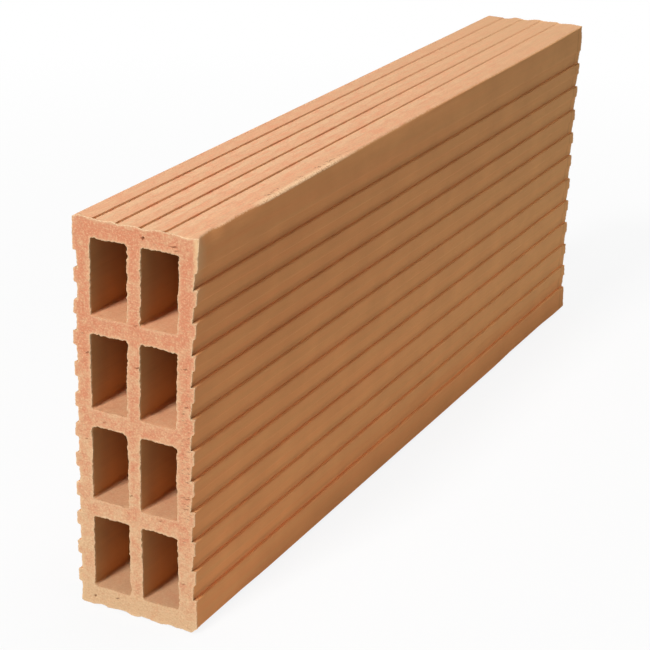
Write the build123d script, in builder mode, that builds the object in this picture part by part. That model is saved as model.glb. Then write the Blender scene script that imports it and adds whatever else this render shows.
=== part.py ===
"""Extruded clay partition block with two columns of four through cells.

The block is one fired piece with the same section all along its length.  X runs across its
thickness, Y along its length and Z up its height.  The origin is at the middle of its lower bed.
"""

import os

from build123d import *

os.makedirs("parts", exist_ok=True)

# Overall size, in millimetres
length = 500
thickness = 67
height = 200

# Walls round the cells, measured to the crests of the ribs outside, and the webs between cells
side_wall = 9.3
bed_wall = 9.1
column_web = 7.0
row_web = 8.8
cell_columns = 2
cell_rows = 4
cell_corner_radius = 1.5

# Plaster grooves along both side faces: a steep upper flank, a floor that deepens downwards and
# a square ledge at the bottom, between plain bands at the top and bottom of the face. The
# grooves of the -X face are the deeper ones
side_groove_count = 11
side_groove_width = 8.8
side_groove_flank = 0.5
side_band = 16.5
high_x_groove_upper_depth = 1.2
high_x_groove_lower_depth = 1.9
low_x_groove_upper_depth = 1.9
low_x_groove_lower_depth = 2.1

# One more groove on the -X face, which runs out through the lower arris
runout_height = 9.6
runout_depth = 1.7

# Mortar grooves along both beds: a square wall on the -X side, a floor that rises towards +X
# and a sloping flank, between two plain bands
bed_groove_count = 4
bed_groove_width = 7.0
bed_groove_flank = 1.5
bed_groove_deep_side = 1.1
bed_groove_shallow_side = 0.6
bed_band_low_x = 10.4
bed_band_high_x = 11.9

# Edges that the die rounds along the length
arris_radius = 1.0
rib_edge_radius = 0.8

# How far the outline of a cut stands out of the face it cuts
cut_overrun = 2

# Sizes that follow from those above
cell_width = (thickness - 2 * side_wall - (cell_columns - 1) * column_web) / cell_columns
cell_height = (height - 2 * bed_wall - (cell_rows - 1) * row_web) / cell_rows
mid_height = height / 2
face_x = thickness / 2
side_groove_pitch = (height - 2 * side_band - side_groove_width) / (side_groove_count - 1)
side_grooves = [
    (1, high_x_groove_upper_depth, high_x_groove_lower_depth),
    (-1, low_x_groove_upper_depth, low_x_groove_lower_depth),
]
bed_groove_run = thickness - bed_band_low_x - bed_band_high_x - bed_groove_width
bed_groove_pitch = bed_groove_run / (bed_groove_count - 1)
bed_groove_middle = (bed_band_low_x - bed_band_high_x) / 2


def side_groove_points(side, upper_depth, lower_depth):
    """Outline of one side groove about the middle of its mouth, side being 1 on +X and -1 on -X."""
    return [
        (side * cut_overrun, side_groove_width / 2),
        (0, side_groove_width / 2),
        (-side * upper_depth, side_groove_width / 2 - side_groove_flank),
        (-side * lower_depth, -side_groove_width / 2),
        (side * cut_overrun, -side_groove_width / 2),
    ]


def bed_groove_points(bed):
    """Outline of one bed groove about the middle of its mouth, bed being 1 above and -1 below."""
    return [
        (-bed_groove_width / 2, bed * cut_overrun),
        (-bed_groove_width / 2, -bed * bed_groove_deep_side),
        (bed_groove_width / 2 - bed_groove_flank, -bed * bed_groove_shallow_side),
        (bed_groove_width / 2, 0),
        (bed_groove_width / 2, bed * cut_overrun),
    ]


with BuildPart() as hollow_brick:
    with BuildSketch(Plane.XZ) as section:
        with Locations((0, mid_height)):
            Rectangle(thickness, height)
            with GridLocations(cell_width + column_web, cell_height + row_web, cell_columns, cell_rows):
                RectangleRounded(cell_width, cell_height, cell_corner_radius, mode=Mode.SUBTRACT)

        for side, upper_depth, lower_depth in side_grooves:
            with Locations((side * face_x, mid_height)):
                with GridLocations(0, side_groove_pitch, 1, side_groove_count):
                    points = side_groove_points(side, upper_depth, lower_depth)
                    Polygon(*points, align=None, mode=Mode.SUBTRACT)

        for bed in (1, -1):
            with Locations((bed_groove_middle, mid_height + bed * mid_height)):
                with GridLocations(bed_groove_pitch, 0, bed_groove_count, 1):
                    Polygon(*bed_groove_points(bed), align=None, mode=Mode.SUBTRACT)

        with Locations((-face_x, 0)):
            Rectangle(2 * runout_depth, 2 * runout_height, mode=Mode.SUBTRACT)

    extrude(amount=length / 2, both=True)

    long_edges = hollow_brick.edges().filter_by(Axis.Y)
    upper_arrises = long_edges.group_by(Axis.Z)[-1].group_by(Axis.X)
    lower_arrises = long_edges.group_by(Axis.Z)[0].group_by(Axis.X)
    fillet(upper_arrises[0] + upper_arrises[-1] + lower_arrises[0] + lower_arrises[-1], arris_radius)

    crest_edges = hollow_brick.edges().filter_by(Axis.Y).group_by(Axis.X)
    fillet(crest_edges[0] + crest_edges[-1], rib_edge_radius)

hollow_brick.part.label = "hollow_brick"
export_step(hollow_brick.part, "parts/hollow_brick.step")
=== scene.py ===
"""Extruded clay partition brick, dressed: ragged wire-cut ends, die lines, burrs and fired clay.

Everything is in metres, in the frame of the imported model: X across the thickness, Y along the
length, Z up, with the origin in the middle of the lower bed.
"""

import math

import bpy
import numpy as np
from mathutils import Matrix, Vector, kdtree, noise
from mathutils.geometry import delaunay_2d_cdt


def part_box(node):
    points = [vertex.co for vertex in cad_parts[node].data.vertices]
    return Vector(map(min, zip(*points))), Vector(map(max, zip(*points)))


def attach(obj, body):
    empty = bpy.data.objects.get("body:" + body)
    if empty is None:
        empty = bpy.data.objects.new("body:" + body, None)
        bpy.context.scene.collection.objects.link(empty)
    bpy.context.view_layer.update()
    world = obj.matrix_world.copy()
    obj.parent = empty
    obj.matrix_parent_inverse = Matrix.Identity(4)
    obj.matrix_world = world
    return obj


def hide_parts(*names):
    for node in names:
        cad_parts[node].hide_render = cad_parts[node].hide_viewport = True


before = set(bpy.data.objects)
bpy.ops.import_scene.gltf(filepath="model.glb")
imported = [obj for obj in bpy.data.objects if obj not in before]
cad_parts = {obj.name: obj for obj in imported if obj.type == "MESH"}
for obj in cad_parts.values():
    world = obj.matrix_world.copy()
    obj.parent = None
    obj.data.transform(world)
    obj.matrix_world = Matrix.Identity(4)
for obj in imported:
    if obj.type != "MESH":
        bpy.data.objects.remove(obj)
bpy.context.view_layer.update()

MM = 0.001
NODE = "hollow_brick"

# Overall size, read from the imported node
low_corner, high_corner = (Vector(corner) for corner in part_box(NODE))
LENGTH = high_corner.y - low_corner.y
THICKNESS = high_corner.x - low_corner.x
HEIGHT = high_corner.z - low_corner.z
FACE_X = THICKNESS / 2
END_Y = LENGTH / 2

# Section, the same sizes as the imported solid's
SIDE_WALL = 9.3 * MM
BED_WALL = 9.1 * MM
COLUMN_WEB = 7.0 * MM
ROW_WEB = 8.8 * MM
COLUMNS = 2
ROWS = 4
CELL_RADIUS = 1.5 * MM
CELL_WIDTH = (THICKNESS - 2 * SIDE_WALL - (COLUMNS - 1) * COLUMN_WEB) / COLUMNS
CELL_HEIGHT = (HEIGHT - 2 * BED_WALL - (ROWS - 1) * ROW_WEB) / ROWS
ROW_PITCH = CELL_HEIGHT + ROW_WEB

# One cell whose core was worn rounder: row from the bottom, column from -X, radius
ROUND_CELL = (1, 0, 2.7 * MM)

SIDE_GROOVES = 11
SIDE_GROOVE_WIDTH = 8.8 * MM
SIDE_GROOVE_FLANK = 0.5 * MM
SIDE_BAND = 16.5 * MM
SIDE_GROOVE_DEPTHS = {1: (1.2 * MM, 1.9 * MM), -1: (1.9 * MM, 2.1 * MM)}
RUNOUT_HEIGHT = 9.6 * MM
RUNOUT_DEPTH = 1.7 * MM

BED_GROOVES = 4
BED_GROOVE_WIDTH = 7.0 * MM
BED_GROOVE_FLANK = 1.5 * MM
BED_GROOVE_DEEP = 1.1 * MM
BED_GROOVE_SHALLOW = 0.6 * MM
BED_BAND_LOW_X = 10.4 * MM
BED_BAND_HIGH_X = 11.9 * MM

ARRIS_RADIUS = 1.0 * MM
RIB_RADIUS = 0.8 * MM
ARC_STEPS = 3

# Light and shade painted into the side grooves: height above the ledge in millimetres, then the
# change of tone, lighter just above the ledge and darker a little higher. Its dark part is this
# many times as strong at the near and at the far end
GROOVE_TONES = [
    (-1.0, 0.28), (0.0, 0.26), (0.5, 0.15), (1.0, 0.01), (1.5, -0.10), (2.0, -0.14),
    (2.6, -0.10), (3.4, 0.0), (5.0, 0.06), (8.0, 0.06),
]
DARK_TONE_NEAR = 1.2
DARK_TONE_FAR = 0.2

# The side faces draw in at mid height: the -X face, then the +X face at the near and far end
BOW_LOW_X = 0.2 * MM
BOW_HIGH_X_NEAR = 2.0 * MM
BOW_HIGH_X_FAR = 1.5 * MM

# Torn lips that the cutting wire leaves on the beds: distance from the -X face, then level above
# that bed's own plane, both in millimetres
NEAR_TOP_LIP = [
    (0.5, -0.5), (3, 0.8), (4.6, 0.3), (10.8, 0.1), (13.9, -0.4), (18.5, 0.0), (21.6, 0.2),
    (24.7, -0.6), (28.9, 0.0), (33.8, 0.4), (38.3, -0.5), (42.9, 0.3), (46.6, 0.8), (49.6, 0.4),
    (54, 0.3), (57.8, 0.0), (61.5, -0.5), (65.5, 0.4),
]
NEAR_BOTTOM_LIP = [
    (1.2, -0.5), (2.4, -1.4), (8.5, -1.5), (10.7, -0.9), (14.2, -0.4), (16.5, -1.3), (18.9, -1.0),
    (22, -0.65), (27, -0.45), (30.5, -1.4), (33, -1.5), (36.3, -0.65), (40, -0.85), (44, -1.3),
    (46.6, -1.5), (51, -0.65), (55.7, -1.05), (59, -0.85), (64, -1.1), (66.5, -0.2),
]
FAR_TOP_LIP = [
    (0, -2.4), (4, -2.6), (8.5, -3.0), (12, -2.3), (15.6, -0.9), (18.4, -0.3), (21.3, -0.4),
    (24.2, -1.2), (27, -0.8), (31.3, 0.1), (35.6, 0.3), (38.5, 0.0), (44, 0.1), (48.4, 0.4),
    (49.9, -0.2), (54, 0.1), (59.7, 0.6), (64, 0.2),
]
FAR_BOTTOM_LIP = [
    (1, -0.3), (6, -1.2), (14, -0.5), (21, -1.3), (27, -0.6), (40, -1.1), (52, -0.7), (65, -1.2),
]
NEAR_LIP_REACH = 1.5 * MM
FAR_LIP_REACH = 3.0 * MM

# The +X face leans in at the far end: draw-in at the lower and the upper bed
FAR_LEAN_BOTTOM = 0.1 * MM
FAR_LEAN_TOP = 1.7 * MM

# Size and reach of the flare of the +X face at the near and at the far cut, where it also has a
# steepness, and of the further one in its grooves at the far cut
NEAR_FLARE = (0.15 * MM, 1.6 * MM)
FAR_FLARE = (0.45 * MM, 4.8 * MM, 6)
FAR_GROOVE_FLARE = (0.5 * MM, 1.6 * MM)

# Burrs on the ledges of the +X face at the near cut
BURR_OUT = 1.15 * MM
BURR_UP = 0.45 * MM
BURR_REACH = 1.3 * MM

# The grooves of the +X face are not quite evenly spaced: height, then how far the face there is
# shifted up, in millimetres, over the near part and at the far end
SIDE_SHIFT_NEAR = [
    (0, 0.0), (16.5, -0.2), (32.3, -0.3), (48.1, -0.7), (64, -0.5), (79.8, -0.3), (95.6, -0.5),
    (104, 0.0), (111.4, 0.5), (127.2, 0.8), (143.1, 0.8), (158.9, 1.1), (174.7, 1.3),
    (186, 1.0), (197, 0.0),
]
SIDE_SHIFT_FAR = [
    (0, 0.0), (16.5, -0.5), (32.3, -0.6), (48.1, -0.8), (64, -0.8), (79.8, -0.9), (95.6, -1.0),
    (111.4, -0.3), (127.2, -0.2), (143.1, 0.0), (158.9, 0.3), (174.7, 0.2), (186, 0.1), (197, 0.0),
]

# Shares of the length between which the near shifts turn into the far ones, and how much of them
# the cut at the near end holds back, over what distance
SHIFT_TURN = (0.34375, 0.96875)
SHIFT_HELD_BACK = 0.6
SHIFT_HELD_REACH = 2.0 * MM

# How far the upper +X arris is drawn in, by distance from the near end, in millimetres, and how
# far down and across the drawing in reaches
TOP_EDGE = [
    (0, -0.6), (1.5, 0.2), (6, 2.0), (11, 2.3), (15, 3.1), (19, 3.0), (23, 1.2), (28, 1.9),
    (38, 2.3), (49, 2.3), (61, 1.5), (73, 1.2), (97, 1.5), (122, 1.8), (136, 1.7), (149, 1.9),
    (163, 2.3), (192, 2.25), (222, 2.7), (253, 2.4), (287, 2.2), (304, 2.0), (322, 1.9),
    (340, 1.5), (359, 1.2), (398, 0.7), (440, 0.4), (462, 0.6), (500, 0.9),
]
EDGE_DROP = 12.0 * MM
EDGE_REACH = 6.0 * MM

# Bed grooves fade towards the far end: how far a floor that had risen to the bed would have moved
# towards +X, and the share of the depth that is left, by distance from the near end
GROOVE_SPREAD = 1.6 * MM
GROOVE_FADE = [(0, 1.0), (120, 0.97), (250, 0.82), (380, 0.68), (500, 0.55)]

# How far the -X face stands off its plane near the near end: height, then the shift along X
LOW_X_SHIFT = [
    (0, -0.45), (8, 0.0), (12, -0.3), (30, -0.45), (45, -0.6), (59, -0.5), (75, -0.4), (95, -0.45),
    (108, -0.1), (125, -0.1), (132, -0.5), (148, -0.5), (155, 0.0), (165, 0.3), (173, 0.3),
    (180, 0.0), (200, 0.0),
]
LOW_X_SHIFT_REACH = 60 * MM

# Worn strip along the lower +X arris: distance from the near end, then its width
BOTTOM_WEAR = [
    (0, 1.6), (45, 1.5), (70, 0.9), (380, 0.9), (400, 1.6), (460, 1.6), (480, 0.9), (500, 0.9),
]

# Pits and short cracks in the cut ends: distance from the -X face and height, half width, half
# height and depth, all in millimetres
NEAR_NICKS = [
    (38.0, 195.4, 0.9, 0.7, 0.8), (54.5, 194.2, 2.2, 0.35, 0.5), (56.0, 192.6, 1.4, 0.3, 0.4),
    (34.5, 131.0, 1.6, 0.35, 0.6), (7.0, 133.0, 1.3, 0.35, 0.5), (60.5, 136.0, 1.0, 0.35, 0.5),
    (61.0, 117.0, 1.3, 0.35, 0.5), (30.5, 63.7, 1.0, 0.4, 0.5), (62.0, 70.0, 2.0, 0.25, 0.4),
    (61.0, 64.5, 1.6, 0.25, 0.4), (8.9, 3.1, 0.7, 0.6, 0.7), (36.5, 176.0, 0.8, 0.3, 0.4),
    (34.0, 152.0, 1.0, 0.3, 0.4), (5.5, 88.0, 1.0, 0.3, 0.4), (59.5, 24.0, 1.2, 0.3, 0.4),
    (22.0, 5.2, 1.3, 0.35, 0.5), (47.0, 54.5, 1.4, 0.3, 0.4), (16.0, 99.0, 1.2, 0.3, 0.4),
]
FAR_NICKS = [
    (12.0, 194.5, 1.5, 0.4, 0.6), (49.0, 146.0, 1.2, 0.35, 0.5), (33.0, 82.0, 0.9, 0.7, 0.6),
    (5.0, 120.0, 1.0, 0.35, 0.5), (60.0, 41.0, 1.5, 0.35, 0.5), (25.0, 4.5, 1.0, 0.5, 0.6),
]

# Spacing of the points in a nick, the depth at which it begins and the height of its waves, both
# in millimetres, and how close the waves are
NICK_SPACING = 0.3 * MM
NICK_EDGE = 0.02
CRACK_WAVE = 0.25
CRACK_WAVE_TURNS = 3

# What the points of the outer outline count as: on a bed, sunk in a groove, on a ledge's crest or
# in the corner behind it
BED_DEPTH = 1.5 * MM
SUNK_DEPTH = 0.8 * MM
BED_SUNK_DEPTH = 0.5 * MM
SPUR_RADIUS = 0.6 * MM
NOTCH_RADIUS = 1.3 * MM

# How far up a normal points where a cell's floor, or a bed, begins and where it is in full
FLOOR_FACING = (0.4, 0.8)
BED_FACING = (0.35, 0.75)

# How far from a bed, and from a side face, a point still belongs to it
BED_SKIN = 1.3 * MM
SIDE_SKIN = 3.0 * MM

# Unevenness of the skin: height, grain across the section, stretch of the grain along Y, and seed
DIE_LINES = [(0.09 * MM, 5.0 * MM, 14, 3), (0.04 * MM, 1.7 * MM, 45, 11)]
CELL_WAVES = [(0.25 * MM, 14.0 * MM, 4, 19)]
CELL_TEARS = [(0.45 * MM, 5.5 * MM, 1, 23), (0.42 * MM, 1.0 * MM, 1, 31)]
OUTER_WAVES = [(0.22 * MM, 3.5 * MM, 1, 41)]
OUTER_TEARS = [(0.14 * MM, 0.9 * MM, 1, 47)]

# Torn crumbs: height, grain and seed, and the stretch that they share
CELL_CRUMBS = (0.40 * MM, 2.3 * MM, 29)
OUTER_CRUMBS = (0.20 * MM, 1.9 * MM, 43)
CRUMB_STRETCH = 1.4

# How far in the tears reach, and how strong they are in the far cells and on the near +X face
CELL_TEAR_REACH = 1.1 * MM
OUTER_TEAR_REACH = 0.9 * MM
FAR_CELL_TEARS = 0.8
NEAR_SIDE_TEARS = 1.45

# Relief of the cut faces: the torn rim, then height, grain and step of the seed of each swing
CUT_SEEDS = {-1: 61, 1: 71}
RIM_WIDTH = 0.45 * MM
RIM_RISE = 0.16 * MM
RIM_SWING = (0.20 * MM, 2.0 * MM, 0)
CUT_SWINGS = [(0.14 * MM, 7.0 * MM, 5), (0.08 * MM, 2.2 * MM, 9)]
DRAG_SWING = (0.06 * MM, 1.2 * MM, 13)
DRAG_STRETCH = 0.12

# What is painted beside the cuts: how much of the painted highlight on the torn rim a cell's floor
# loses, the reach of the painted highlight on a ledge's crest, the width of the painted highlight
# on the cut face's rim, the painted shade in a ledge's notch, a painted dark line of shade along
# the far end (shade, place and width) and the strength of the painted shade in the pits
FLOOR_RIM_LOSS = 0.75
SPUR_RIM_REACH = 1.8 * MM
CUT_RIM_WIDTH = 0.35 * MM
NOTCH_SHADE = 0.75
NOTCH_REACH = 2.6 * MM
FAR_LINE = (0.14, 5.8 * MM, 0.7 * MM)
PIT_STRENGTH = 1.6

# Mesh density, and the angle in degrees from which an edge is drawn sharp
OUTER_SPACING = 1.3 * MM
OUTER_HALVINGS = 1
CELL_SPACING = 2.0 * MM
CELL_HALVINGS = 2
NEAR_CUT_SPACING = 1.25 * MM
FAR_CUT_SPACING = 1.5 * MM
RIM_INSET = 0.4 * MM
SHARP_ANGLE = 38

# Points of a cut face: how far the grid's are scattered, as a share of the spacing, with the seeds
# of it, how deep in the clay they lie beside the rims, on the grid and in a nick, and how near two
# of them count as one
GRID_SCATTER = 0.35
GRID_SEEDS = (5.3, 9.7)
CLEARANCES = (0.7 * RIM_INSET, 2 * RIM_INSET, 1.5 * RIM_INSET)
CDT_TOLERANCE = 1e-9

# Distances from the cut at which the skin has its rings, in millimetres
FINE_STATIONS = [0, 0.35, 0.8, 1.4, 2.2, 3.3]
MEDIUM_STATIONS = [4.7, 5.8, 7.2]
COARSE_STATIONS = [10, 15, 22, 32, 45, 62, 84, 110, 140, 175, 212]
EXTRA_OUTER_STATIONS = [12.5, 18.5, 27, 38, 53, 73, 97, 125]


def rounded_corner(before, corner, after, radius):
    """Points of the arc that rounds one corner of an outline."""
    into = (before - corner).normalized()
    out_of = (after - corner).normalized()
    half_turn = into.angle(out_of) / 2
    reach = radius / math.tan(half_turn)
    start = corner + into * reach
    stop = corner + out_of * reach
    centre = corner + (into + out_of).normalized() * (radius / math.sin(half_turn))
    points = []
    for step in range(ARC_STEPS + 1):
        spoke = (start - centre).lerp(stop - centre, step / ARC_STEPS).normalized()
        points.append(centre + spoke * radius)
    return points


def outline(corners, spacing):
    """A closed outline with rounded corners and no step longer than the spacing."""
    path = []
    for index, (x, z, radius) in enumerate(corners):
        corner = Vector((x, z))
        if radius:
            before = Vector(corners[index - 1][:2])
            after = Vector(corners[(index + 1) % len(corners)][:2])
            path += rounded_corner(before, corner, after, radius)
        else:
            path.append(corner)
    dense = []
    for index, point in enumerate(path):
        following = path[(index + 1) % len(path)]
        steps = max(1, math.ceil((following - point).length / spacing))
        dense += [point.lerp(following, step / steps) for step in range(steps)]
    return np.array([tuple(point) for point in dense])


def groove_middles(count, first_band, last_band, width, span):
    """Middles of a row of grooves between two plain bands, measured along the span."""
    first = first_band + width / 2
    last = span - last_band - width / 2
    return np.linspace(first, last, count)


side_middles = groove_middles(SIDE_GROOVES, SIDE_BAND, SIDE_BAND, SIDE_GROOVE_WIDTH, HEIGHT)
bed_middles = groove_middles(
    BED_GROOVES, BED_BAND_LOW_X, BED_BAND_HIGH_X, BED_GROOVE_WIDTH, THICKNESS) - FACE_X


def bed_groove(bed, x):
    """Corners of one bed groove from -X to +X, bed being the height of the bed's plane."""
    half = BED_GROOVE_WIDTH / 2
    inwards = 1 if bed == 0 else -1
    return [
        (x - half, bed, 0),
        (x - half, bed + inwards * BED_GROOVE_DEEP, 0),
        (x + half - BED_GROOVE_FLANK, bed + inwards * BED_GROOVE_SHALLOW, 0),
        (x + half, bed, 0),
    ]


def side_groove(side, z):
    """Corners of one side groove from below, side being 1 on the +X and -1 on the -X face."""
    half = SIDE_GROOVE_WIDTH / 2
    upper, lower = SIDE_GROOVE_DEPTHS[side]
    return [
        (side * FACE_X, z - half, RIB_RADIUS),
        (side * (FACE_X - lower), z - half, 0),
        (side * (FACE_X - upper), z + half - SIDE_GROOVE_FLANK, 0),
        (side * FACE_X, z + half, RIB_RADIUS),
    ]


def outer_corners():
    """Corners of the brick's outside, anticlockwise as seen from the near end."""
    corners = [(-FACE_X + RUNOUT_DEPTH, 0, ARRIS_RADIUS)]
    for x in bed_middles:
        corners += bed_groove(0, x)
    corners.append((FACE_X, 0, ARRIS_RADIUS))
    for z in side_middles:
        corners += side_groove(1, z)
    corners.append((FACE_X, HEIGHT, ARRIS_RADIUS))
    for x in bed_middles[::-1]:
        corners += bed_groove(HEIGHT, x)[::-1]
    corners.append((-FACE_X, HEIGHT, ARRIS_RADIUS))
    for z in side_middles[::-1]:
        corners += side_groove(-1, z)[::-1]
    corners.append((-FACE_X, RUNOUT_HEIGHT, RIB_RADIUS))
    corners.append((-FACE_X + RUNOUT_DEPTH, RUNOUT_HEIGHT, 0))
    return corners


def cell_corners():
    """Corners of each cell, clockwise as seen from the near end."""
    for row in range(ROWS):
        for column in range(COLUMNS):
            x = -FACE_X + SIDE_WALL + column * (CELL_WIDTH + COLUMN_WEB)
            z = BED_WALL + row * ROW_PITCH
            radius = ROUND_CELL[2] if (row, column) == ROUND_CELL[:2] else CELL_RADIUS
            yield [
                (x, z, CELL_RADIUS),
                (x, z + CELL_HEIGHT, radius),
                (x + CELL_WIDTH, z + CELL_HEIGHT, radius),
                (x + CELL_WIDTH, z, CELL_RADIUS),
            ]


def with_midpoints(points):
    """The points round a closed outline with one more halfway between each two."""
    return np.stack([points, (points + np.roll(points, -1, 0)) / 2], 1).reshape(-1, 2)


def outward_normals(points):
    """Unit normals of a closed outline that has the clay on its left."""
    along = np.roll(points, -1, 0) - np.roll(points, 1, 0)
    across = np.stack([along[:, 1], -along[:, 0]], 1)
    return across / np.linalg.norm(across, axis=1, keepdims=True)


def nearest_distance(points, targets):
    """Distance of each point from the nearest target."""
    gaps = np.linalg.norm(points[:, None, :] - np.array(targets)[None, :, :], axis=2)
    return gaps.min(1)


def looked_up(table, place):
    """Value of a table of places and values, straight between its rows."""
    places, values = zip(*table)
    return float(np.interp(place, places, values))


def share_between(values, low, high):
    """How far each value is on its way from low to high, from 0 to 1."""
    return np.clip((values - low) / (high - low), 0, 1)


class Loop:
    """One closed outline of the section, with what each of its points needs to know."""

    def __init__(self, points, halvings, is_cell):
        self.coarse_step = 2 ** halvings
        for _ in range(halvings):
            points = with_midpoints(points)
        self.points = points
        self.is_cell = is_cell
        self.normals = outward_normals(points)
        self.spur, self.notch, self.tone, self.bed = np.zeros((4, len(points)))
        self.on_bed = np.zeros(len(points), bool)
        if is_cell:
            self.floor = share_between(self.normals[:, 1], *FLOOR_FACING)
        else:
            self.weigh_outside()

    def weigh_outside(self):
        """Weights of the outer skin: ledges, groove shade, beds and groove floors."""
        across, heights = self.points.T
        full_depth = SIDE_GROOVE_DEPTHS[1][1]
        ledges = [(FACE_X, z - SIDE_GROOVE_WIDTH / 2) for z in side_middles]
        corners = [(FACE_X - full_depth, z) for _, z in ledges]
        side_depth = FACE_X - abs(across)
        bed_depth = np.minimum(heights, HEIGHT - heights)
        self.spur = np.exp(-(nearest_distance(self.points, ledges) / SPUR_RADIUS) ** 2)
        self.notch = np.exp(-(nearest_distance(self.points, corners) / NOTCH_RADIUS) ** 2)
        self.on_bed = bed_depth < BED_DEPTH
        for index in np.flatnonzero(~self.on_bed):
            above = min((heights[index] - z for _, z in ledges if heights[index] > z - MM),
                        default=SIDE_BAND)
            depth_share = min(side_depth[index] / full_depth, 1) ** 2
            self.tone[index] = depth_share * looked_up(GROOVE_TONES, above / MM)
        self.bed = self.on_bed * share_between(np.abs(self.normals[:, 1]), *BED_FACING)
        self.floor = np.where(
            self.on_bed, share_between(bed_depth, 0, BED_SUNK_DEPTH),
            share_between(np.minimum(side_depth, bed_depth), 0, SUNK_DEPTH))


def wander(x, y, z, grain, stretch, seed):
    """Smooth noise from -1 to 1 with the given grain across the section and its stretch along Y."""
    return noise.noise(Vector((x / grain + seed, y / (grain * stretch), z / grain - seed)))


def swing(layers, x, y, z):
    """Sum of layers of smooth noise, each with its height, grain, stretch and seed."""
    return sum(height * wander(x, y, z, grain, stretch, seed)
               for height, grain, stretch, seed in layers)


def crumbs_at(x, y, z, height, grain, seed):
    """Noise with sharp crests, for torn edges."""
    return height * (0.5 - abs(2 * wander(x, y, z, grain, CRUMB_STRETCH, seed)))


def by_distance(table, y):
    """Value of a table that is given against the distance from the near end."""
    return looked_up(table, (y + END_Y) / MM)


def bow_at(x, z, y):
    """How far the section draws in towards -X at this place."""
    across = (x + FACE_X) / THICKNESS
    along = (y + END_Y) / LENGTH
    high_x = BOW_HIGH_X_NEAR + (BOW_HIGH_X_FAR - BOW_HIGH_X_NEAR) * along
    bow = BOW_LOW_X * (1 - across) + high_x * across
    return -bow * math.sin(math.pi * min(max(z / HEIGHT, 0), 1))


def lean_at(x, z, y):
    """How far the +X face draws in towards the far end."""
    along = ((y + END_Y) / LENGTH) ** 2
    across = max(0.0, x / FACE_X)
    return -along * across * (FAR_LEAN_BOTTOM + (FAR_LEAN_TOP - FAR_LEAN_BOTTOM) * z / HEIGHT)


def edge_draw(x, z, y):
    """How far the upper +X arris is drawn in."""
    across = min(max((x - FACE_X + EDGE_REACH) / EDGE_REACH, 0), 1)
    upwards = max((z - HEIGHT + EDGE_DROP) / EDGE_DROP, 0)
    return -by_distance(TOP_EDGE, y) * MM * across * upwards ** 2


def side_shift(z, y):
    """How far the +X face is shifted up at this place, with its unevenly spaced grooves."""
    near = looked_up(SIDE_SHIFT_NEAR, z / MM)
    far = looked_up(SIDE_SHIFT_FAR, z / MM)
    turned = ((y + END_Y) / LENGTH - SHIFT_TURN[0]) / (SHIFT_TURN[1] - SHIFT_TURN[0])
    settled = 1 - SHIFT_HELD_BACK * math.exp(-(y + END_Y) / SHIFT_HELD_REACH)
    return (near + (far - near) * min(max(turned, 0), 1)) * MM * settled


def worn(x, z, y):
    """The point moved back onto the worn strip of the lower +X arris."""
    short = by_distance(BOTTOM_WEAR, y) * MM - (FACE_X - x) - z
    if short > 0:
        return x - short / 2, z + short / 2
    return x, z


def faded(x, z, y):
    """A point of a bed, moved as its grooves get shallower towards the far end."""
    fade = by_distance(GROOVE_FADE, y)
    depth = min(z, HEIGHT - z)
    x += (1 - fade) * GROOVE_SPREAD * min(depth / BED_GROOVE_DEEP, 1)
    return x, HEIGHT - depth * fade if z > HEIGHT / 2 else depth * fade


def at_lip(x, z, y, gap):
    """Height of a point beside a bed, moved to the torn lip of the cut."""
    near_end = y < 0
    lip = math.exp(-(gap / (NEAR_LIP_REACH if near_end else FAR_LIP_REACH)) ** 2)
    if not near_end and abs(x) > FACE_X - SIDE_SKIN:
        lip *= 1 - min(max(min(z, HEIGHT - z) / BED_SKIN, 0), 1)
    across = (x + FACE_X) / MM
    if z > HEIGHT / 2:
        level = HEIGHT + looked_up(NEAR_TOP_LIP if near_end else FAR_TOP_LIP, across) * MM
    else:
        level = looked_up(NEAR_BOTTOM_LIP if near_end else FAR_BOTTOM_LIP, across) * MM
    return z + (level - z) * lip


def cell_push(x, y, z, gap):
    """How far the skin of a cell moves along its normals: long waves and a torn mouth."""
    torn = math.exp(-gap / CELL_TEAR_REACH) * (1.0 if y < 0 else FAR_CELL_TEARS)
    tears = swing(CELL_TEARS, x, y, z) + crumbs_at(x, y, z, *CELL_CRUMBS)
    return swing(CELL_WAVES, x, y, z) + torn * tears


def outer_push(x, y, z, gap, on_bed):
    """How far the outer skin moves along its normals beside the cuts."""
    torn = math.exp(-gap / OUTER_TEAR_REACH)
    on_near_side = y < 0 and x > FACE_X - SIDE_SKIN and not on_bed
    tears = swing(OUTER_TEARS, x, y, z) + crumbs_at(x, y, z, *OUTER_CRUMBS)
    return torn * (swing(OUTER_WAVES, x, y, z) + tears * (NEAR_SIDE_TEARS if on_near_side else 1))


def displaced(loop, index, y, gap):
    """Where a point of the section goes: bow, die lines and the drag of the cutting wire."""
    x, z = loop.points[index]
    nx, nz = loop.normals[index]
    on_bed = loop.on_bed[index]
    near_end = y < 0
    if on_bed:
        x, z = faded(x, z, y)
    push = swing(DIE_LINES, x, y, z)
    if loop.is_cell:
        push += cell_push(x, y, z, gap)
    else:
        push += outer_push(x, y, z, gap, on_bed)
        if min(z, HEIGHT - z) < BED_SKIN:
            z = at_lip(x, z, y, gap)
        elif x > 0 and near_end:
            push += NEAR_FLARE[0] * math.exp(-gap / NEAR_FLARE[1])
            burr = loop.spur[index] * math.exp(-gap / BURR_REACH)
            x += burr * BURR_OUT
            z += burr * BURR_UP
        elif x > 0:
            x += FAR_FLARE[0] * math.exp(-(gap / FAR_FLARE[1]) ** FAR_FLARE[2])
            x += FAR_GROOVE_FLARE[0] * loop.floor[index] * math.exp(-gap / FAR_GROOVE_FLARE[1])
        x, z = worn(x, z, y)
        x += edge_draw(x, z, y)
        if x > 0 and not on_bed:
            z += side_shift(z, y)
        elif x < 0 and near_end:
            shift = looked_up(LOW_X_SHIFT, z / MM) * MM * -x / FACE_X
            x += shift * math.exp(-gap / LOW_X_SHIFT_REACH)
    return x + bow_at(x, z, y) + lean_at(x, z, y) + nx * push, z + nz * push


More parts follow.
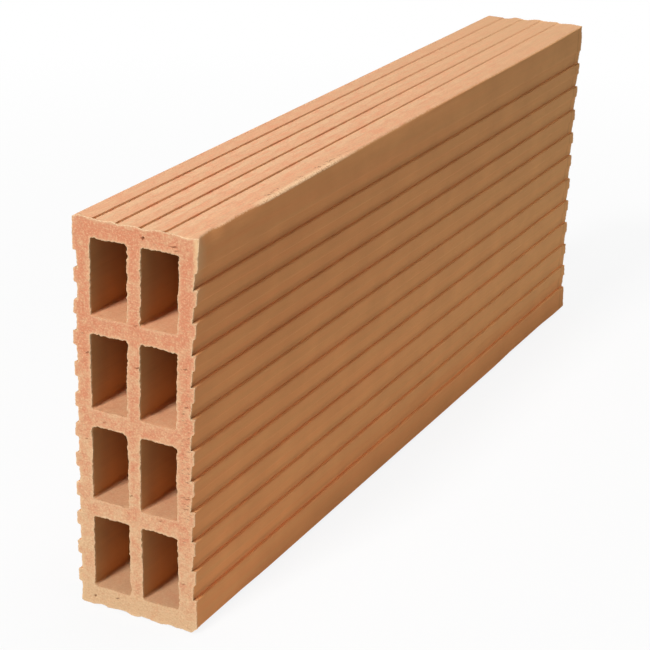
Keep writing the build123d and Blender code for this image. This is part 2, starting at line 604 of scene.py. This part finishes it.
def cut_relief(x, z, rim_distance, seed):
    """How far the cut face stands out of its plane: torn rim, drag lines and crumbs."""
    height, grain, step = RIM_SWING
    rim = math.exp(-rim_distance / RIM_WIDTH)
    relief = rim * (RIM_RISE + height * wander(x, 0, z, grain, 1, seed + step))
    for height, grain, step in CUT_SWINGS:
        relief += height * wander(x, 0, z, grain, 1, seed + step)
    height, grain, step = DRAG_SWING
    return relief + height * wander(x * DRAG_STRETCH, 0, z, grain, 1, seed + step)


def nick_depth(nicks, x, z):
    """How deep, in millimetres, the pits and cracks of a cut end are at this place."""
    depth = 0.0
    for across, height, half_width, half_height, deep in nicks:
        u = (x + FACE_X - across * MM) / (half_width * MM)
        wave = CRACK_WAVE * math.sin(CRACK_WAVE_TURNS * u)
        v = (z - (height + wave) * MM) / (half_height * MM)
        depth = max(depth, deep * math.exp(-(u * u + v * v) ** 2))
    return depth


class BrickMesh:
    """Gathers the vertices, faces and painted weights of the whole brick."""

    LAYERS = ("cut", "rim", "tone", "bed", "cell", "groove", "pit")

    def __init__(self):
        self.vertices = []
        self.faces = []
        self.weights = {name: [] for name in self.LAYERS}

    def add(self, position, **weights):
        self.vertices.append(position)
        for name in self.LAYERS:
            self.weights[name].append(weights.get(name, 0.0))
        return len(self.vertices) - 1


def stations(is_cell):
    """Distances along Y from end to end: position, distance from the nearer end and ring level."""
    coarse = COARSE_STATIONS if is_cell else sorted(COARSE_STATIONS + EXTRA_OUTER_STATIONS)
    levels = [(FINE_STATIONS, 0), (MEDIUM_STATIONS, 1), (coarse, 2)]
    near = [(-END_Y + step * MM, step * MM, level) for steps, level in levels for step in steps]
    far = [(-y, gap, level) for y, gap, level in near[::-1]]
    return near + [(0.0, END_Y, 2)] + far


def stitch(brick, ring, following, step, following_step, count):
    """Faces between two neighbouring rings, one of which may have half the points of the other."""
    wide = max(step, following_step)
    for index in range(0, count, wide):
        after = (index + wide) % count
        a, b, c, d = ring[index], following[index], following[after], ring[after]
        if step == following_step:
            brick.faces.append((a, b, c, d))
        elif step < following_step:
            middle = ring[index + wide // 2]
            brick.faces += [(a, b, middle), (middle, b, c), (middle, c, d)]
        else:
            middle = following[index + wide // 2]
            brick.faces += [(a, b, middle), (a, middle, d), (d, middle, c)]


def painted_rim_highlight(loop, index, y, gap):
    """How much painted highlight shows at a point of the skin: on the torn rim, where its lip
    catches the light, and at the near cut on a ledge's crest.
    """
    rim = math.exp(-gap / RIM_WIDTH)
    if loop.is_cell:
        return rim * (1 - FLOOR_RIM_LOSS * loop.floor[index])
    if y < 0:
        return max(rim, loop.spur[index] * math.exp(-(gap / SPUR_RIM_REACH) ** 2))
    return rim


def painted_tone(loop, index, x, y, gap):
    """How much painted light or shade a point of the skin has, from its groove, the notch at the
    near cut and the dark line at the far cut.
    """
    tone = loop.tone[index]
    if tone < 0:
        tone *= DARK_TONE_NEAR + (DARK_TONE_FAR - DARK_TONE_NEAR) * (y + END_Y) / LENGTH
    if y < 0:
        tone -= NOTCH_SHADE * loop.notch[index] * math.exp(-(gap / NOTCH_REACH) ** 2)
    elif x > 0 and not loop.on_bed[index] and not loop.is_cell:
        shade, place, width = FAR_LINE
        tone -= shade * math.exp(-((gap - place) / width) ** 2)
    return tone


def build_skin(brick, loop):
    """The surface along one outline from end to end. Returns its near and its far rim."""
    rings = []
    count = len(loop.points)
    for y, gap, level in stations(loop.is_cell):
        step = min(2 ** level, loop.coarse_step)
        ring = {}
        for index in range(0, count, step):
            x, z = displaced(loop, index, y, gap)
            relief = cut_relief(x, z, 0, CUT_SEEDS[-1 if y < 0 else 1]) if gap == 0 else 0.0
            ring[index] = brick.add(
                (x, y + math.copysign(relief, y), z),
                rim=painted_rim_highlight(loop, index, y, gap), tone=painted_tone(loop, index, x, y, gap),
                bed=loop.bed[index], cell=float(loop.is_cell), groove=loop.floor[index])
        rings.append((ring, step))
    for (ring, step), (following, following_step) in zip(rings, rings[1:]):
        stitch(brick, ring, following, step, following_step, count)
    return [[rings[end][0][index] for index in range(count)] for end in (0, -1)]


class CutRims:
    """The rims of one cut end, with what tells whether a place lies between them in the clay."""

    def __init__(self, brick, rims):
        self.vertices = [vertex for rim in rims for vertex in rim]
        self.points = [Vector((brick.vertices[v][0], brick.vertices[v][2])) for v in self.vertices]
        self.edges = []
        self.inward = []
        start = 0
        for rim in rims:
            count = len(rim)
            self.edges += [(start + i, start + (i + 1) % count) for i in range(count)]
            outline_points = np.array([tuple(point) for point in self.points[start:start + count]])
            self.inward += [Vector(tuple(-normal)) for normal in outward_normals(outline_points)]
            start += count
        self.tree = kdtree.KDTree(len(self.points))
        for index, point in enumerate(self.points):
            self.tree.insert(point.to_3d(), index)
        self.tree.balance()

    def clay_depth(self, place):
        """Distance into the clay from the nearest rim point, negative outside the clay."""
        _, index, gap = self.tree.find(place.to_3d())
        inside = (place - self.points[index]).dot(self.inward[index]) > 0
        return gap if inside else -gap

    def enclose(self, places):
        """Which places are in the clay: an odd number of the rims' edges lies to their right."""
        inside = np.zeros(len(places), bool)
        for start, stop in self.edges:
            (start_x, start_z), (stop_x, stop_z) = self.points[start], self.points[stop]
            if start_z == stop_z:
                continue
            level = (start_z > places[:, 1]) != (stop_z > places[:, 1])
            share = (places[:, 1] - start_z) / (stop_z - start_z)
            inside ^= level & (places[:, 0] < start_x + share * (stop_x - start_x))
        return inside


def cut_face_points(rims, nicks, spacing):
    """Points between the rims of a cut face: beside the rims, on a loose grid and in each nick."""
    beside = [point + inwards * RIM_INSET for point, inwards in zip(rims.points, rims.inward)]
    grid = []
    columns = int(THICKNESS / spacing)
    rows = int(HEIGHT / spacing)
    for row in range(rows):
        for column in range(columns):
            x = -FACE_X + (column + 0.5) * THICKNESS / columns
            z = (row + 0.5) * HEIGHT / rows
            x += GRID_SCATTER * spacing * noise.noise(Vector((x / MM, z / MM, GRID_SEEDS[0])))
            z += GRID_SCATTER * spacing * noise.noise(Vector((x / MM, z / MM, GRID_SEEDS[1])))
            if nick_depth(nicks, x, z) < NICK_EDGE:
                grid.append(Vector((x, z)))
    nicked = []
    for across, height, half_width, half_height, _ in nicks:
        columns = int(2 * half_width * MM / NICK_SPACING)
        rows = int(2 * half_height * MM / NICK_SPACING) + 1
        for column in range(-columns, columns + 1):
            for row in range(-rows, rows + 1):
                x = across * MM - FACE_X + column * NICK_SPACING
                nicked.append(Vector((x, height * MM + row * NICK_SPACING)))
    groups = zip((beside[::2], grid, nicked), CLEARANCES)
    return [place for places, clearance in groups for place in places
            if rims.clay_depth(place) > clearance]


def build_cut_face(brick, rims, side, nicks, spacing):
    """The cut face that closes one end, side being -1 at the near and 1 at the far end."""
    places = rims.points + cut_face_points(rims, nicks, spacing)
    triangulated = delaunay_2d_cdt(places, rims.edges, [], 0, CDT_TOLERANCE, True)
    points, _, triangles, sources = triangulated[:4]
    vertex_of = {}
    for index, point in enumerate(points):
        known = [source for source in sources[index] if source < len(rims.points)]
        if known:
            vertex_of[index] = rims.vertices[known[0]]
            continue
        depth = abs(rims.clay_depth(point))
        nick = nick_depth(nicks, point.x, point.y)
        relief = cut_relief(point.x, point.y, depth, CUT_SEEDS[side]) - nick * MM
        vertex_of[index] = brick.add(
            (point.x, side * (END_Y + relief), point.y),
            cut=1.0, rim=math.exp(-depth / CUT_RIM_WIDTH), pit=min(1.0, nick * PIT_STRENGTH))
    corners = np.array([[tuple(points[index]) for index in triangle] for triangle in triangles])
    for kept in np.flatnonzero(rims.enclose(corners.mean(1))):
        triangle = triangles[kept]
        a, b, c = (points[index] for index in triangle)
        anticlockwise = (b - a).cross(c - a) > 0
        order = triangle if anticlockwise == (side < 0) else triangle[::-1]
        brick.faces.append(tuple(vertex_of[index] for index in order))


def build_brick():
    """The whole brick as one mesh object."""
    brick = BrickMesh()
    loops = [Loop(outline(outer_corners(), OUTER_SPACING), OUTER_HALVINGS, False)]
    loops += [Loop(outline(corners, CELL_SPACING), CELL_HALVINGS, True)
              for corners in cell_corners()]
    near_rims, far_rims = zip(*[build_skin(brick, loop) for loop in loops])
    build_cut_face(brick, CutRims(brick, near_rims), -1, NEAR_NICKS, NEAR_CUT_SPACING)
    build_cut_face(brick, CutRims(brick, far_rims), 1, FAR_NICKS, FAR_CUT_SPACING)

    mesh = bpy.data.meshes.new("clay_brick")
    mesh.from_pydata(brick.vertices, [], brick.faces)
    for name, values in brick.weights.items():
        layer = mesh.attributes.new(name, "FLOAT", "POINT")
        layer.data.foreach_set("value", values)
    mesh.validate()
    mesh.shade_smooth()
    mesh.set_sharp_from_angle(angle=math.radians(SHARP_ANGLE))
    piece = bpy.data.objects.new("clay_brick", mesh)
    bpy.context.scene.collection.objects.link(piece)
    return piece


class Nodes:
    """Small helper that adds shader nodes to a material or a world and links them by name."""

    def __init__(self, owner):
        owner.use_nodes = True
        self.tree = owner.node_tree
        self.tree.nodes.clear()

    def add(self, kind, inputs=None, **settings):
        node = self.tree.nodes.new(kind)
        for name, value in settings.items():
            setattr(node, name, value)
        for name, value in (inputs or {}).items():
            socket = node.inputs[name]
            if isinstance(value, bpy.types.NodeSocket):
                self.tree.links.new(value, socket)
            else:
                socket.default_value = value
        return node

    def weight(self, name):
        """One of the weights painted on the mesh."""
        return self.add("ShaderNodeAttribute", attribute_name=name).outputs["Fac"]

    def grain(self, place, texture):
        """Noise at a place, from its scale, detail, roughness and distortion."""
        names = ("Scale", "Detail", "Roughness", "Distortion")
        node = self.add("ShaderNodeTexNoise", {"Vector": place, **dict(zip(names, texture))})
        return node.outputs["Fac"]

    def remap(self, value, low, high, to_low=0.0, to_high=1.0):
        """The value, clamped between low and high, as it lies between the two new ends."""
        node = self.add("ShaderNodeMapRange", {
            "Value": value, "From Min": low, "From Max": high, "To Min": to_low, "To Max": to_high})
        return node.outputs["Result"]

    def maths(self, operation, first, second=0.0):
        node = self.add("ShaderNodeMath", {0: first, 1: second}, operation=operation)
        return node.outputs["Value"]

    def product(self, first, *others):
        for other in others:
            first = self.maths("MULTIPLY", first, other)
        return first

    def total(self, first, *others):
        for other in others:
            first = self.maths("ADD", first, other)
        return first

    def blend(self, share, first, second):
        """The first colour with a share of the second in it."""
        node = self.add("ShaderNodeMix", {0: share, 6: first, 7: second}, data_type="RGBA")
        return node.outputs[2]

    def mixed(self, share, first, second):
        """The first value with a share of the second in it."""
        node = self.add("ShaderNodeMix", {0: share, 2: first, 3: second}, data_type="FLOAT")
        return node.outputs[0]

    def tinted(self, colour, factor):
        """The colour made lighter or darker by a factor."""
        node = self.add("ShaderNodeVectorMath", {0: colour, "Scale": factor}, operation="SCALE")
        return node.outputs["Vector"]

    def varied(self, colour, texture, share):
        """The colour made lighter and darker by up to a share, as a texture goes."""
        return self.tinted(colour, self.remap(texture, 0.3, 0.7, 1 - share, 1 + share))

    def clamped(self, value):
        node = self.add("ShaderNodeClamp", {"Value": value})
        return node.outputs["Result"]


def srgb(red, green, blue):
    """A colour written as it shows on a screen, 0 to 255, turned into linear light."""
    def linear(value):
        value /= 255
        return value / 12.92 if value <= 0.04045 else ((value + 0.055) / 1.055) ** 2.4
    return (linear(red), linear(green), linear(blue), 1.0)


BED_RIB = srgb(219, 167, 129)
BED_GROOVE = srgb(222, 179, 140)
BED_FAR = srgb(216, 170, 128)
BED_PINK = srgb(220, 156, 119)
BED_CREAM = srgb(224, 180, 138)
# Side faces: more saturated than the beds, partly the clay's own colour and partly painted shade
# for the look of the shaded sides
SIDE_TAN = srgb(215, 151, 95)
SIDE_RED = srgb(214, 142, 89)
SIDE_FAR = srgb(217, 165, 109)
# Cell walls painted darker than the clay, as the shade inside the cells
SHADED_CELL_WALL = srgb(197, 141, 90)
CELL_FLOOR = srgb(216, 164, 123)
CUT_SALMON = srgb(218, 143, 107)
CUT_CREAM = srgb(226, 186, 144)
SPECK_CREAM = srgb(240, 205, 162)
SPECK_RED = srgb(204, 122, 90)
# Pale cream of the painted highlight on the torn rims and on the ledges' crests
RIM_HIGHLIGHT = srgb(245, 214, 172)
WORN_YELLOW = srgb(234, 196, 148)
WORN_OLIVE = srgb(202, 170, 128)
# Dark brown of the painted shade in pits, cracks and the crease on the +X arris, also used for the
# dark crumbs
PIT_BROWN = srgb(120, 66, 36)
PER_MM = 1000.0

# Textures of the clay: scale per millimetre, detail, roughness and distortion
CLOUDS = (0.035, 3, 0.55, 0.0)
PATCHES = (0.13, 3, 0.6, 0.6)
MOTTLE = (0.55, 4, 0.62, 0.3)
SPECKS = (1.0, 3, 0.7, 0.0)
CRUMBS = (0.9, 3, 0.7, 0.0)
STREAKS = (0.28, 4, 0.55, 0.0)
FINE_STREAKS = (1.3, 3, 0.6, 0.0)
DRAG_LINES = (1.5, 3, 0.6, 0.0)
SMEARS = (0.30, 4, 0.6, 0.4)
DASHES = (0.9, 2, 0.6, 0.0)

# How far the textures are drawn out: streaks, smears and dashes along Y, drag lines along X
STREAK_SHARE = 0.03
SMEAR_SHARE = 0.3
DASH_SHARE = 0.35
DRAG_SHARE = 0.22

BUMP_STRENGTH = 0.5
BUMP_HEIGHT = 0.5 * MM
SHEEN = 0.08


class Clay(Nodes):
    """Unglazed fired clay: die skin streaked along its length, torn cut faces, painted highlights
    on the torn rims and painted light and shade in the grooves, pits and cells.

    The places in the ranges below are in millimetres, along the brick's own axes.
    """

    def __init__(self, material):
        super().__init__(material)
        self.place = self.add("ShaderNodeTexCoord").outputs["Object"]
        in_mm = self.in_mm()
        split = self.add("ShaderNodeSeparateXYZ", {"Vector": in_mm})
        self.x, self.y, self.z = (split.outputs[axis] for axis in "XYZ")
        self.cut = self.weight("cut")
        self.groove = self.weight("groove")
        self.patches = self.grain(in_mm, PATCHES)
        self.mottle = self.grain(in_mm, MOTTLE)
        self.specks = self.grain(in_mm, SPECKS)
        self.crumbs = self.grain(in_mm, CRUMBS)
        self.streaks = self.grain(self.in_mm(along=STREAK_SHARE), STREAKS)
        self.fine_streaks = self.grain(self.in_mm(along=STREAK_SHARE), FINE_STREAKS)
        self.drag_lines = self.grain(self.in_mm(across=DRAG_SHARE), DRAG_LINES)

    def in_mm(self, across=1.0, along=1.0):
        """The place in millimetres, with its X or its Y made smaller to draw a texture out."""
        scale = (PER_MM * across, PER_MM * along, PER_MM)
        node = self.add("ShaderNodeMapping", {"Vector": self.place, "Scale": scale})
        return node.outputs["Vector"]

    def cracks(self):
        """Share of fine cracks, painted dark as the shade inside them, most of them in the middle
        of the +X wall.
        """
        rough_wall = self.product(
            self.remap(self.x, 22.0, 27.0), self.remap(self.z, 150.0, 120.0, 0.2, 1.0),
            self.remap(self.z, 30.0, 50.0))
        crack_from = self.total(self.product(rough_wall, 0.10), 0.31)
        return self.remap(self.maths("SUBTRACT", crack_from, self.drag_lines), 0.0, 0.05, 0.0, 0.55)

    def torn_clay(self):
        """Colour of the cut ends: salmon above, creamier towards the bottom and the -X side."""
        creamy = self.clamped(self.total(
            self.remap(self.z, 150.0, 0.0, 0.0, 0.45),
            self.product(self.remap(self.x, 10.0, -34.0, 0.0, 0.45),
                         self.remap(self.z, 130.0, 10.0)),
            self.remap(self.z, 12.0, 5.0, 0.0, 0.4),
            self.remap(self.patches, 0.3, 0.7, -0.25, 0.42),
            self.remap(self.mottle, 0.3, 0.7, -0.25, 0.35)))
        torn = self.blend(creamy, CUT_SALMON, CUT_CREAM)
        torn = self.blend(self.remap(self.specks, 0.51, 0.70, 0.0, 0.75), torn, SPECK_CREAM)
        torn = self.blend(self.remap(self.specks, 0.47, 0.29, 0.0, 0.5), torn, SPECK_RED)
        torn = self.varied(torn, self.drag_lines, 0.07)
        torn = self.blend(self.cracks(), torn, PIT_BROWN)
        frayed_x = self.total(self.x, self.product(self.mottle, 2.0))
        worn_corner = self.product(
            self.remap(frayed_x, 31.4, 33.4), self.remap(self.z, 168.0, 192.0), 0.8, self.cut)
        return self.blend(worn_corner, torn, WORN_YELLOW)

    def bed_face(self):
        """Colour of the beds: creamier in the grooves, smeared pink and cream near the camera."""
        cream_share = self.product(self.groove, self.remap(self.y, -150.0, 200.0, 0.9, 0.25))
        bed = self.blend(cream_share, BED_RIB, BED_GROOVE)
        bed = self.blend(self.remap(self.y, -50.0, 240.0, 0.0, 0.8), bed, BED_FAR)
        smears = self.grain(self.in_mm(along=SMEAR_SHARE), SMEARS)
        smeared = self.remap(self.y, -20.0, 220.0, 1.0, 0.3)
        pink = self.product(smeared, self.remap(smears, 0.48, 0.64, 0.0, 0.75))
        cream = self.product(smeared, self.remap(smears, 0.46, 0.32, 0.0, 0.6))
        bed = self.blend(pink, bed, BED_PINK)
        bed = self.blend(cream, bed, BED_CREAM)
        bed = self.blend(self.remap(self.streaks, 0.45, 0.65, 0.0, 0.25), bed, BED_PINK)
        calmer = self.remap(self.y, 0.0, 220.0, 0.0, 0.6)
        speckled = self.remap(self.specks, 0.3, 0.7, 0.88, 1.12)
        bed = self.tinted(bed, self.mixed(calmer, speckled, 1.0))
        return self.varied(bed, self.fine_streaks, 0.03)

    def side_face(self):
        """Colour of the side faces: tan and red streaks, painted lighter low down and darker above
        and at the foot, olive at the worn corner.
        """
        side = self.blend(self.remap(self.streaks, 0.25, 0.75), SIDE_TAN, SIDE_RED)
        far_share = self.product(
            self.remap(self.y, -200.0, 230.0, 0.0, 0.6), self.remap(self.z, 5.0, 30.0))
        side = self.blend(far_share, side, SIDE_FAR)
        # Painted light: lighter low down, where the floor's bounced light falls, and darker above
        side = self.tinted(side, self.remap(self.z, 15.0, 195.0, 1.11, 0.85))
        # Painted shade along the foot, where the brick stands on the floor, beyond the near end
        foot = self.product(self.remap(self.z, 14.0, 5.0), self.remap(self.y, -235.0, -180.0))
        side = self.tinted(side, self.remap(foot, 0.0, 1.0, 1.0, 0.98))
        side = self.varied(side, self.grain(self.in_mm(), CLOUDS), 0.05)
        olive = self.product(
            self.remap(self.y, -241.0, -248.0), self.remap(self.z, 162.0, 194.0, 0.0, 0.45),
            self.remap(self.x, 20.0, 25.0))
        return self.blend(olive, side, WORN_OLIVE)

    def cell_inside(self, torn):
        """Colour inside the cells, painted light and shade: walls darker than the clay, more so at
        the near mouth and near each cell's top, and paler floors, lighter in the upper rows.
        """
        # Painted shade on the walls, less of it in the lower rows
        walls = self.tinted(SHADED_CELL_WALL[:3], self.remap(self.z, 10.0, 180.0, 1.22, 0.96))
        # More painted shade on the walls just inside the near mouth
        walls = self.tinted(walls, self.remap(self.y, -248.0, -234.0, 0.78, 1.0))
        # More painted shade towards the top of each cell
        above_floor = self.maths("SUBTRACT", self.z, BED_WALL / MM)
        in_row = self.maths("FRACT", self.maths("DIVIDE", above_floor, ROW_PITCH / MM))
        walls = self.tinted(walls, self.remap(in_row, 0.3, 0.8, 1.03, 0.93))
        floors = self.blend(0.45, CELL_FLOOR, torn)
        # Painted light: floors lighter in the upper rows
        floors = self.tinted(floors, self.remap(self.z, 10.0, 160.0, 1.0, 1.28))
        return self.blend(self.groove, walls, floors)

    def bed_share(self):
        """Where the beds' colour ends at the arrises, with a frayed edge."""
        share = self.weight("bed")
        edge = self.product(share, self.maths("SUBTRACT", 1.0, share))
        frayed = self.product(edge, self.remap(self.specks, 0.35, 0.65, -3.2, 3.2))
        return self.clamped(self.total(share, frayed))

    def die_skin(self, torn):
        """Colour of all that the die shaped, with the light and shade painted into it."""
        skin = self.blend(self.bed_share(), self.side_face(), self.bed_face())
        skin = self.blend(self.weight("cell"), skin, self.cell_inside(torn))
        skin = self.varied(skin, self.streaks, 0.025)
        skin = self.varied(skin, self.fine_streaks, 0.018)
        return self.tinted(skin, self.total(self.weight("tone"), 1.0))

    def crumb_strip(self, skin):
        """The skin with crumbs along the upper +X arris and a broken dark line beside them, painted
        as the shade of a crease.
        """
        reach = self.product(
            self.remap(self.y, -196.0, -186.0), self.remap(self.y, -86.0, -108.0),
            self.remap(self.z, 198.7, 199.3))
        strip = self.product(self.remap(self.x, 28.3, 30.2), reach)
        # Painted shade of a crease beside the crumbs, broken into dashes
        crease = self.product(
            self.remap(self.x, 26.8, 28.0), self.remap(self.x, 29.8, 28.8), reach,
            self.remap(self.patches, 0.47, 0.53))
        pale = self.product(strip, self.remap(self.crumbs, 0.38, 0.58, 0.15, 0.8))
        dark = self.product(strip, self.remap(self.crumbs, 0.42, 0.34, 0.0, 0.6))
        dashes = self.grain(self.in_mm(along=DASH_SHARE), DASHES)
        broken = self.product(crease, self.remap(dashes, 0.52, 0.44, 0.0, 0.8))
        skin = self.blend(pale, skin, SPECK_CREAM)
        skin = self.blend(dark, skin, PIT_BROWN)
        return self.blend(broken, skin, PIT_BROWN), strip

    def relief(self, strip):
        """Height of the fine grain, for the bump."""
        torn = self.total(self.specks, self.product(self.drag_lines, 1.2))
        skin = self.total(
            self.product(self.fine_streaks, 0.35), self.product(self.specks, 0.25),
            self.product(strip, self.crumbs, 1.4))
        return self.mixed(self.cut, skin, torn)


def clay_material():
    """The material of the whole brick."""
    material = bpy.data.materials.new("fired_clay_surface")
    clay = Clay(material)
    torn = clay.torn_clay()
    skin, strip = clay.crumb_strip(clay.die_skin(torn))
    colour = clay.blend(clay.cut, skin, torn)
    # Painted highlight along the torn rims, where the lip standing out of the cut catches the light
    ragged_rim_highlight = clay.product(clay.weight("rim"), clay.remap(clay.crumbs, 0.36, 0.56, 0.3, 1.0))
    colour = clay.blend(ragged_rim_highlight, colour, RIM_HIGHLIGHT)
    # Painted shade in the pits and cracks of the cut ends
    colour = clay.blend(clay.product(clay.weight("pit"), 0.75), colour, PIT_BROWN)
    bump = clay.add("ShaderNodeBump", {
        "Height": clay.relief(strip), "Strength": BUMP_STRENGTH, "Distance": BUMP_HEIGHT})
    surface = clay.add("ShaderNodeBsdfPrincipled", {
        "Base Color": colour, "Roughness": clay.remap(clay.mottle, 0.3, 0.7, 0.86, 0.97),
        "Specular IOR Level": SHEEN, "Normal": bump.outputs["Normal"]})
    clay.add("ShaderNodeOutputMaterial", {"Surface": surface.outputs["BSDF"]})
    return material


# The floor: the camera sees it a little off white as far as the first distance from the middle and
# plain white from the second on
FLOOR_SIZE = 14.0
FLOOR_PAINT = (0.75, 0.75, 0.75, 1.0)
NEAR_WHITE = 0.88
WHITE_FROM = 0.30
WHITE_BY = 0.95


def build_floor(level):
    """A plain white floor that stays white to the camera and still takes the brick's shadow."""
    half = FLOOR_SIZE / 2
    mesh = bpy.data.meshes.new("floor")
    corners = ((-half, -half), (half, -half), (half, half), (-half, half))
    mesh.from_pydata([(x, y, level) for x, y in corners], [], [(0, 1, 2, 3)])
    floor = bpy.data.objects.new("floor", mesh)
    bpy.context.scene.collection.objects.link(floor)
    material = bpy.data.materials.new("white_floor")
    nodes = Nodes(material)
    matt = nodes.add("ShaderNodeBsdfDiffuse", {"Color": FLOOR_PAINT})
    glow = nodes.add("ShaderNodeEmission", {"Color": (1, 1, 1, 1), "Strength": 1.0})
    place = nodes.add("ShaderNodeTexCoord").outputs["Object"]
    distance = nodes.add("ShaderNodeVectorMath", {0: place}, operation="LENGTH").outputs["Value"]
    white = nodes.remap(distance, WHITE_FROM, WHITE_BY, NEAR_WHITE, 1.0)
    seen = nodes.add("ShaderNodeLightPath").outputs["Is Camera Ray"]
    mix = nodes.add("ShaderNodeMixShader", {
        0: nodes.product(seen, white), 1: matt.outputs[0], 2: glow.outputs[0]})
    nodes.add("ShaderNodeOutputMaterial", {"Surface": mix.outputs[0]})
    mesh.materials.append(material)


# Strength of the surroundings on the brick
AMBIENT = 0.08

# Lamps: where each shines from, its distance, the side of its square and its power
KEY = ((-0.10, -0.70, 0.69), 4.0, 0.6, 121)
OVERHEAD = ((0.05, 0.10, 1.0), 3.0, 1.6, 43)
FILL = ((0.93, -0.30, 0.12), 3.0, 1.6, 12.2)


def light_world():
    """Even white surroundings, seen as plain white by the camera and in reflections."""
    world = bpy.data.worlds.new("studio")
    bpy.context.scene.world = world
    nodes = Nodes(world)
    path = nodes.add("ShaderNodeLightPath").outputs
    seen = nodes.maths("MAXIMUM", path["Is Camera Ray"], path["Is Glossy Ray"])
    seen = nodes.maths("MAXIMUM", seen, path["Is Transmission Ray"])
    strength = nodes.remap(seen, 0.0, 1.0, AMBIENT, 1.0)
    background = nodes.add("ShaderNodeBackground", {"Color": (1, 1, 1, 1), "Strength": strength})
    nodes.add("ShaderNodeOutputWorld", {"Surface": background.outputs[0]})


def area_light(name, towards, distance, size, power):
    """A square soft light aimed at the middle of the brick from the given direction."""
    data = bpy.data.lights.new(name, "AREA")
    data.shape = "SQUARE"
    data.size = size
    data.energy = power
    lamp = bpy.data.objects.new(name, data)
    direction = Vector(towards).normalized()
    target = Vector((0, 0, HEIGHT / 2))
    lamp.location = target + direction * distance
    lamp.rotation_euler = direction.to_track_quat("Z", "Y").to_euler()
    bpy.context.scene.collection.objects.link(lamp)


# The camera at the photograph's place: turned left of +Y, tipped down and rolled, in degrees, with
# its lens and the width of its picture in millimetres
CAMERA_PLACE = Vector((0.43663, -0.93015, 0.47865))
CAMERA_YAW = 26.503
CAMERA_DOWN = 21.914
CAMERA_ROLL = 1.778
CAMERA_LENS = 104.604
SENSOR_WIDTH = 36
CLIP_END = 50


def build_camera():
    """The scene's camera, worked out from the brick's corners in the photograph."""
    yaw, down, roll = (math.radians(angle) for angle in (CAMERA_YAW, CAMERA_DOWN, CAMERA_ROLL))
    ahead = Vector((-math.sin(yaw), math.cos(yaw), 0))
    forward = ahead * math.cos(down) - Vector((0, 0, math.sin(down)))
    level = Vector((math.cos(yaw), math.sin(yaw), 0))
    right = level * math.cos(roll) + level.cross(forward) * math.sin(roll)
    data = bpy.data.cameras.new("camera")
    data.lens = CAMERA_LENS
    data.sensor_width = SENSOR_WIDTH
    data.clip_end = CLIP_END
    camera = bpy.data.objects.new("camera", data)
    turn = Matrix((right, right.cross(forward), -forward)).transposed()
    camera.matrix_world = Matrix.Translation(CAMERA_PLACE) @ turn.to_4x4()
    bpy.context.scene.collection.objects.link(camera)
    bpy.context.scene.camera = camera


brick_piece = build_brick()
brick_piece.data.materials.append(clay_material())
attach(brick_piece, "root")
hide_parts(NODE)

build_floor(min(vertex.co.z for vertex in brick_piece.data.vertices))
light_world()
area_light("key", *KEY)
area_light("overhead", *OVERHEAD)
area_light("fill", *FILL)
build_camera()
bpy.context.scene.view_settings.view_transform = "Standard"
